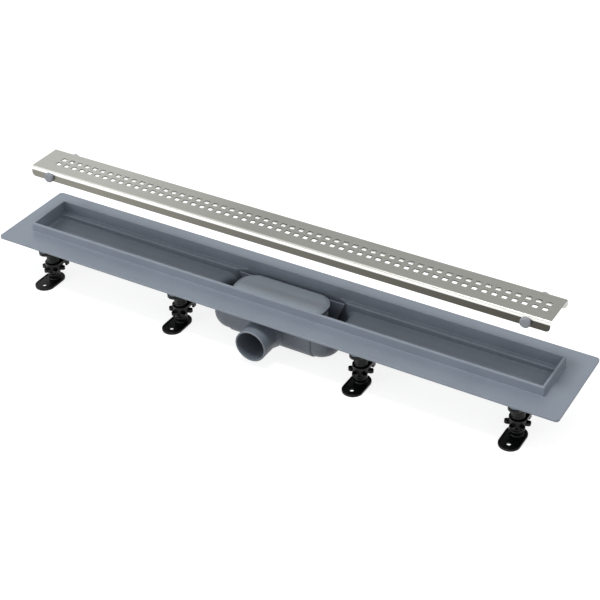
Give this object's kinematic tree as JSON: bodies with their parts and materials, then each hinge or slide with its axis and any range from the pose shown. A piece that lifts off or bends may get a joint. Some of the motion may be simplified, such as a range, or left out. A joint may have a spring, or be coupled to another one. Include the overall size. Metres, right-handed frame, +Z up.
{
  "type": "channel drain",
  "caption": "Linear shower channel: moulded grey tray with flange, trap and side outlet, lifted perforated steel grate, and black adjustable feet.",
  "frame": {"origin": "on the floor under the outlet, at the middle of the channel", "axes": "+X along the channel, +Y across it away from the outlet, +Z up"},
  "size_m": [0.9264, 0.171, 0.1896],
  "materials": {
    "tray_plastic": "satin moulded polypropylene",
    "seal_rubber": "matt",
    "grate_steel": "brushed along its length",
    "button_plastic": "smooth moulded",
    "foot_plastic": "glossy black moulded",
    "screw_steel": "zinc plated"
  },
  "bodies": {
    "tray": {"channel_body": "tray_plastic", "trap_insert": "tray_plastic", "trap_cover": "tray_plastic", "trap_seal": "seal_rubber", "grate": "grate_steel", "grate_button_front_left": "button_plastic", "grate_button_front_right": "button_plastic", "grate_button_rear_left": "button_plastic", "grate_button_rear_right": "button_plastic", "foot_bracket_front_1": "foot_plastic", "foot_bracket_front_2": "foot_plastic", "foot_bracket_front_3": "foot_plastic", "foot_bracket_front_4": "foot_plastic", "foot_bracket_rear_1": "foot_plastic", "foot_bracket_rear_2": "foot_plastic", "foot_bracket_rear_3": "foot_plastic", "foot_bracket_rear_4": "foot_plastic", "bracket_screws": "screw_steel"},
    "foot_front_1": {"foot_front_1": "foot_plastic"},
    "lock_nut_front_1": {"lock_nut_front_1": "foot_plastic"},
    "foot_front_2": {"foot_front_2": "foot_plastic"},
    "lock_nut_front_2": {"lock_nut_front_2": "foot_plastic"},
    "foot_front_3": {"foot_front_3": "foot_plastic"},
    "lock_nut_front_3": {"lock_nut_front_3": "foot_plastic"},
    "foot_front_4": {"foot_front_4": "foot_plastic"},
    "lock_nut_front_4": {"lock_nut_front_4": "foot_plastic"},
    "foot_rear_1": {"foot_rear_1": "foot_plastic"},
    "lock_nut_rear_1": {"lock_nut_rear_1": "foot_plastic"},
    "foot_rear_2": {"foot_rear_2": "foot_plastic"},
    "lock_nut_rear_2": {"lock_nut_rear_2": "foot_plastic"},
    "foot_rear_3": {"foot_rear_3": "foot_plastic"},
    "lock_nut_rear_3": {"lock_nut_rear_3": "foot_plastic"},
    "foot_rear_4": {"foot_rear_4": "foot_plastic"},
    "lock_nut_rear_4": {"lock_nut_rear_4": "foot_plastic"}
  },
  "joints": [
    {"name": "nut_turn_front_1", "type": "hinge", "parent": "tray", "child": "lock_nut_front_1", "pos_m": [-0.3915, -0.0418, 0.0229], "axis": [0, 0, 1], "range_deg": [-586, 1081]},
    {"name": "foot_height_front_1", "type": "slide", "parent": "tray", "child": "foot_front_1", "axis": [0, 0, 1], "range_m": [-0.012, 0.0065]},
    {"name": "nut_turn_front_2", "type": "hinge", "parent": "tray", "child": "lock_nut_front_2", "pos_m": [-0.1515, -0.0418, 0.0229], "axis": [0, 0, 1], "range_deg": [-586, 1081]},
    {"name": "foot_height_front_2", "type": "slide", "parent": "tray", "child": "foot_front_2", "axis": [0, 0, 1], "range_m": [-0.012, 0.0065]},
    {"name": "nut_turn_front_3", "type": "hinge", "parent": "tray", "child": "lock_nut_front_3", "pos_m": [0.1555, -0.0418, 0.0229], "axis": [0, 0, 1], "range_deg": [-586, 1081]},
    {"name": "foot_height_front_3", "type": "slide", "parent": "tray", "child": "foot_front_3", "axis": [0, 0, 1], "range_m": [-0.012, 0.0065]},
    {"name": "nut_turn_front_4", "type": "hinge", "parent": "tray", "child": "lock_nut_front_4", "pos_m": [0.3955, -0.0418, 0.0229], "axis": [0, 0, 1], "range_deg": [-586, 1081]},
    {"name": "foot_height_front_4", "type": "slide", "parent": "tray", "child": "foot_front_4", "axis": [0, 0, 1], "range_m": [-0.012, 0.0065]},
    {"name": "nut_turn_rear_1", "type": "hinge", "parent": "tray", "child": "lock_nut_rear_1", "pos_m": [-0.3915, 0.0418, 0.0229], "axis": [0, 0, 1], "range_deg": [-586, 1081]},
    {"name": "foot_height_rear_1", "type": "slide", "parent": "tray", "child": "foot_rear_1", "axis": [0, 0, 1], "range_m": [-0.012, 0.0065]},
    {"name": "nut_turn_rear_2", "type": "hinge", "parent": "tray", "child": "lock_nut_rear_2", "pos_m": [-0.1515, 0.0418, 0.0229], "axis": [0, 0, 1], "range_deg": [-586, 1081]},
    {"name": "foot_height_rear_2", "type": "slide", "parent": "tray", "child": "foot_rear_2", "axis": [0, 0, 1], "range_m": [-0.012, 0.0065]},
    {"name": "nut_turn_rear_3", "type": "hinge", "parent": "tray", "child": "lock_nut_rear_3", "pos_m": [0.1555, 0.0418, 0.0229], "axis": [0, 0, 1], "range_deg": [-586, 1081]},
    {"name": "foot_height_rear_3", "type": "slide", "parent": "tray", "child": "foot_rear_3", "axis": [0, 0, 1], "range_m": [-0.012, 0.0065]},
    {"name": "nut_turn_rear_4", "type": "hinge", "parent": "tray", "child": "lock_nut_rear_4", "pos_m": [0.3955, 0.0418, 0.0229], "axis": [0, 0, 1], "range_deg": [-586, 1081]},
    {"name": "foot_height_rear_4", "type": "slide", "parent": "tray", "child": "foot_rear_4", "axis": [0, 0, 1], "range_m": [-0.012, 0.0065]}
  ],
  "couplings": [
    {"joint": "nut_turn_front_1", "follows": "foot_height_front_1", "rad_per_m": -1570.8},
    {"joint": "nut_turn_front_2", "follows": "foot_height_front_2", "rad_per_m": -1570.8},
    {"joint": "nut_turn_front_3", "follows": "foot_height_front_3", "rad_per_m": -1570.8},
    {"joint": "nut_turn_front_4", "follows": "foot_height_front_4", "rad_per_m": -1570.8},
    {"joint": "nut_turn_rear_1", "follows": "foot_height_rear_1", "rad_per_m": -1570.8},
    {"joint": "nut_turn_rear_2", "follows": "foot_height_rear_2", "rad_per_m": -1570.8},
    {"joint": "nut_turn_rear_3", "follows": "foot_height_rear_3", "rad_per_m": -1570.8},
    {"joint": "nut_turn_rear_4", "follows": "foot_height_rear_4", "rad_per_m": -1570.8}
  ]
}
